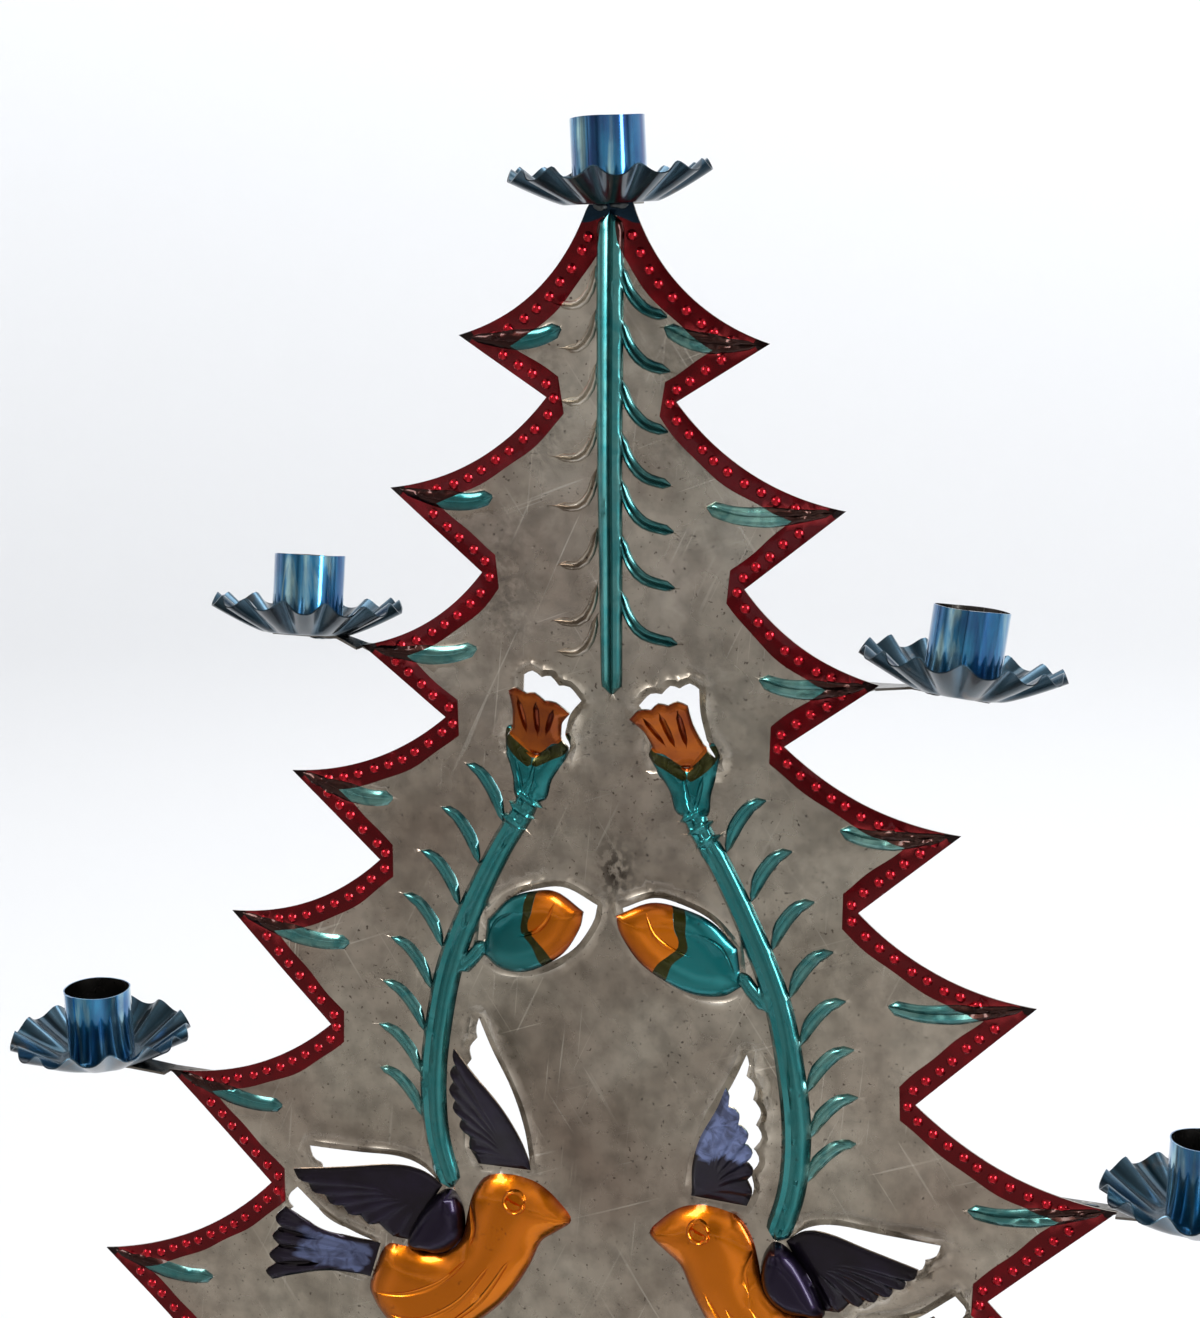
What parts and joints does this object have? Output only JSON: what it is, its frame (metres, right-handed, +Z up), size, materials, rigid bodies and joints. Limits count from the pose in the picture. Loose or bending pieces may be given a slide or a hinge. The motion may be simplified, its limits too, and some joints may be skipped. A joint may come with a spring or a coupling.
{
  "type": "tree of life candle holder",
  "caption": "Tin tree-of-life candle holder: a flat tiered tree with cut and bent flowers and birds, fluted drip pans and cups at its tips, on a box base.",
  "frame": {"origin": "middle of the base's underside, on the table", "axes": "+Z up, +X to the viewer's right along the tree's sheet, -Y to the decorated front"},
  "size_m": [0.5842, 0.13, 0.646],
  "materials": {
    "tin": "aged bare tin with coloured lacquer",
    "lacquer_red": "glossy translucent crimson lacquer",
    "lacquer_teal": "glossy translucent teal lacquer",
    "lacquer_amber": "glossy translucent amber lacquer",
    "lacquer_violet": "glossy dark violet-blue lacquer",
    "cup_lacquer": "streaky translucent blue lacquer",
    "pan_lacquer": "dark blue lacquer",
    "bare_tin": "aged bare tin",
    "base_paint": "crimson lacquer over tin"
  },
  "bodies": {
    "root": {"tree_panel": "tin", "drip_pan_top": "pan_lacquer", "candle_cup_top": "cup_lacquer", "drip_pan_upper_left": "pan_lacquer", "candle_cup_upper_left": "cup_lacquer", "candle_arm_upper_left": "bare_tin", "drip_pan_upper_right": "pan_lacquer", "candle_cup_upper_right": "cup_lacquer", "candle_arm_upper_right": "bare_tin", "drip_pan_middle_left": "pan_lacquer", "candle_cup_middle_left": "cup_lacquer", "candle_arm_middle_left": "bare_tin", "drip_pan_middle_right": "pan_lacquer", "candle_cup_middle_right": "cup_lacquer", "candle_arm_middle_right": "bare_tin", "drip_pan_lower_left": "pan_lacquer", "candle_cup_lower_left": "cup_lacquer", "candle_arm_lower_left": "bare_tin", "drip_pan_lower_right": "pan_lacquer", "candle_cup_lower_right": "cup_lacquer", "candle_arm_lower_right": "bare_tin", "base_box": "base_paint", "back_strut_left": "bare_tin", "back_strut_right": "bare_tin"}
  },
  "joints": []
}
